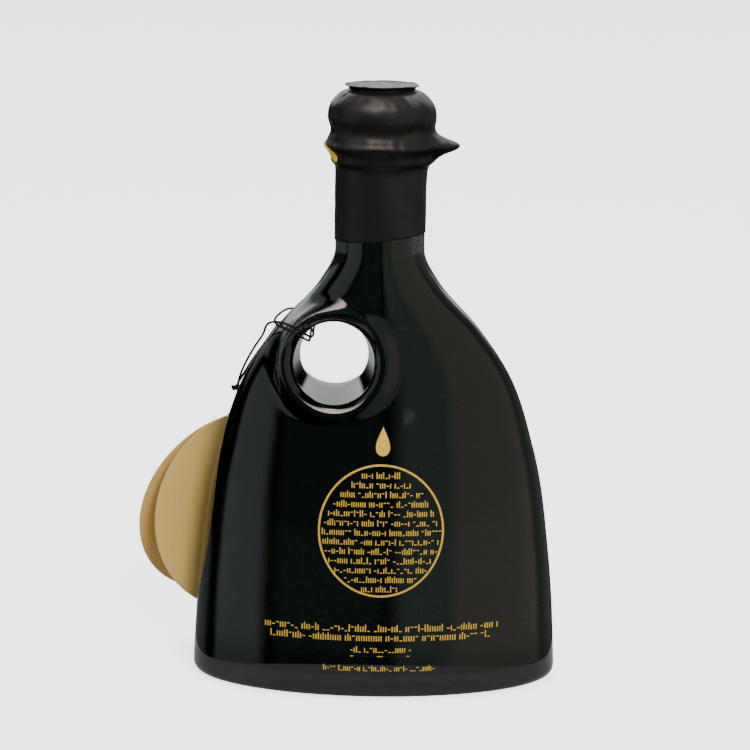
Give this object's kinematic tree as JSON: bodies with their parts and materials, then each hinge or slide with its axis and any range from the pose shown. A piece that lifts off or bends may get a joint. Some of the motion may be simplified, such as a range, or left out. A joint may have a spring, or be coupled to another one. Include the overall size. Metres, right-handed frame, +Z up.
{
  "type": "olive oil bottle",
  "caption": "Flat bell-shaped bottle of dark glass with a finger hole through its shoulder, oil inside, a sealed pouring closure and a folded card on a cord.",
  "frame": {"origin": "centre of the base, on the surface it stands on", "axes": "+X to the beak's side, +Y to the back, +Z up; the hole is left of the middle"},
  "size_m": [0.1544, 0.0933, 0.2167],
  "materials": {
    "dark_glass": "polished",
    "oil": "clear liquid",
    "black_film": "satin shrink film",
    "grey_disc": "glossy",
    "yellow_tab": "satin",
    "black_cord": "braided elastic",
    "gold_card": "matte gold card",
    "gold_print": "satin gold ink"
  },
  "bodies": {
    "root": {"bottle": "dark_glass", "oil": "oil", "seal": "black_film", "top_disc": "grey_disc", "tear_tab": "yellow_tab", "cord": "black_cord", "knot": "black_cord", "tag": "gold_card"}
  },
  "joints": []
}
